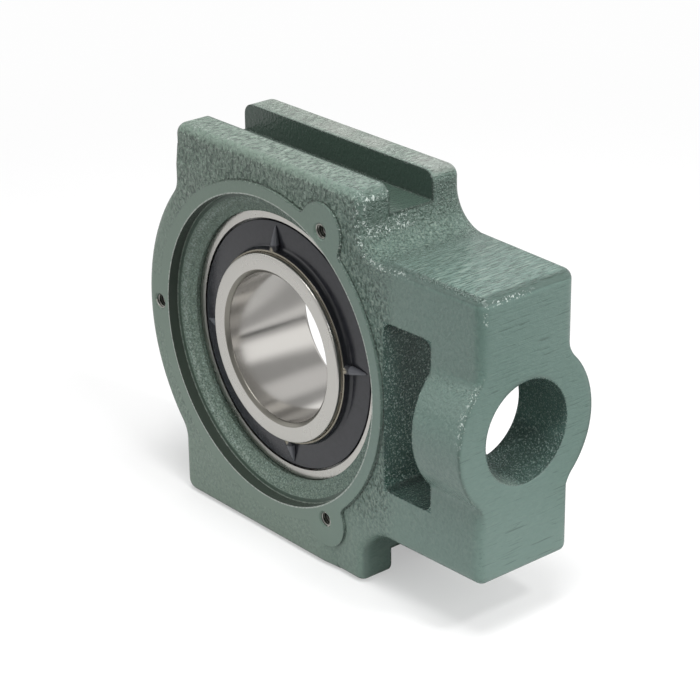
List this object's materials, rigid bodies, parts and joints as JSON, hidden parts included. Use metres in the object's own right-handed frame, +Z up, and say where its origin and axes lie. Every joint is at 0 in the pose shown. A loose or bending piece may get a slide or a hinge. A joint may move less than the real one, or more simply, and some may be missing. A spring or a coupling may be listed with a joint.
{
  "type": "take up bearing unit",
  "caption": "Cast take-up housing with guide grooves, a nut window and a screw hole, holding a self-aligning ball bearing insert with a tapered bore.",
  "frame": {"origin": "centre of the bearing", "axes": "+X towards the screw hole in the end block, +Y along the shaft to the back, +Z up"},
  "size_m": [0.1532, 0.049, 0.1184],
  "materials": {
    "housing_iron": "grey-green enamel over grey iron",
    "ring_steel": "ground",
    "ball_steel": "polished",
    "cage_steel": "pressed",
    "rivet_steel": "headed",
    "shield_steel": "pressed",
    "seal_rubber": "matte",
    "flinger_steel": "black coated pressed steel",
    "nipple_steel": "zinc plated",
    "spring_steel": "drawn"
  },
  "bodies": {
    "housing": {"housing": "housing_iron", "grease_nipple": "nipple_steel", "nipple_check_ball": "ball_steel", "nipple_spring": "spring_steel"},
    "outer_ring": {"outer_ring": "ring_steel", "seal_shield_front": "shield_steel", "seal_shield_rear": "shield_steel", "seal_lip_front": "seal_rubber", "seal_lip_rear": "seal_rubber"},
    "inner_ring": {"inner_ring": "ring_steel", "flinger_front": "flinger_steel", "flinger_rear": "flinger_steel"},
    "cage": {"cage_front": "cage_steel", "cage_rear": "cage_steel", "cage_rivets": "rivet_steel"},
    "ball_1": {"ball_1": "ball_steel"},
    "ball_2": {"ball_2": "ball_steel"},
    "ball_3": {"ball_3": "ball_steel"},
    "ball_4": {"ball_4": "ball_steel"},
    "ball_5": {"ball_5": "ball_steel"},
    "ball_6": {"ball_6": "ball_steel"},
    "ball_7": {"ball_7": "ball_steel"},
    "ball_8": {"ball_8": "ball_steel"},
    "ball_9": {"ball_9": "ball_steel"}
  },
  "joints": [
    {"name": "self_align", "type": "hinge", "parent": "housing", "child": "outer_ring", "pos_m": [0, 0, 0], "axis": [0, 0, 1], "range_deg": [-3, 3]},
    {"name": "shaft_spin", "type": "hinge", "parent": "outer_ring", "child": "inner_ring", "pos_m": [0, 0, 0], "axis": [0, 1, 0], "continuous": true},
    {"name": "cage_spin", "type": "hinge", "parent": "outer_ring", "child": "cage", "pos_m": [0, 0, 0], "axis": [0, 1, 0], "continuous": true},
    {"name": "ball_1_roll", "type": "hinge", "parent": "cage", "child": "ball_1", "pos_m": [0.0325, 0, 0], "axis": [0, 1, 0], "continuous": true},
    {"name": "ball_2_roll", "type": "hinge", "parent": "cage", "child": "ball_2", "pos_m": [0.0249, 0, 0.02089], "axis": [0, 1, 0], "continuous": true},
    {"name": "ball_3_roll", "type": "hinge", "parent": "cage", "child": "ball_3", "pos_m": [0.00564, 0, 0.03201], "axis": [0, 1, 0], "continuous": true},
    {"name": "ball_4_roll", "type": "hinge", "parent": "cage", "child": "ball_4", "pos_m": [-0.01625, 0, 0.02815], "axis": [0, 1, 0], "continuous": true},
    {"name": "ball_5_roll", "type": "hinge", "parent": "cage", "child": "ball_5", "pos_m": [-0.03054, 0, 0.01112], "axis": [0, 1, 0], "continuous": true},
    {"name": "ball_6_roll", "type": "hinge", "parent": "cage", "child": "ball_6", "pos_m": [-0.03054, 0, -0.01112], "axis": [0, 1, 0], "continuous": true},
    {"name": "ball_7_roll", "type": "hinge", "parent": "cage", "child": "ball_7", "pos_m": [-0.01625, 0, -0.02815], "axis": [0, 1, 0], "continuous": true},
    {"name": "ball_8_roll", "type": "hinge", "parent": "cage", "child": "ball_8", "pos_m": [0.00564, 0, -0.03201], "axis": [0, 1, 0], "continuous": true},
    {"name": "ball_9_roll", "type": "hinge", "parent": "cage", "child": "ball_9", "pos_m": [0.0249, 0, -0.02089], "axis": [0, 1, 0], "continuous": true}
  ],
  "couplings": [
    {"joint": "cage_spin", "follows": "shaft_spin", "ratio": 0.40231},
    {"joint": "ball_1_roll", "follows": "shaft_spin", "ratio": -2.4614},
    {"joint": "ball_2_roll", "follows": "shaft_spin", "ratio": -2.4614},
    {"joint": "ball_3_roll", "follows": "shaft_spin", "ratio": -2.4614},
    {"joint": "ball_4_roll", "follows": "shaft_spin", "ratio": -2.4614},
    {"joint": "ball_5_roll", "follows": "shaft_spin", "ratio": -2.4614},
    {"joint": "ball_6_roll", "follows": "shaft_spin", "ratio": -2.4614},
    {"joint": "ball_7_roll", "follows": "shaft_spin", "ratio": -2.4614},
    {"joint": "ball_8_roll", "follows": "shaft_spin", "ratio": -2.4614},
    {"joint": "ball_9_roll", "follows": "shaft_spin", "ratio": -2.4614}
  ]
}
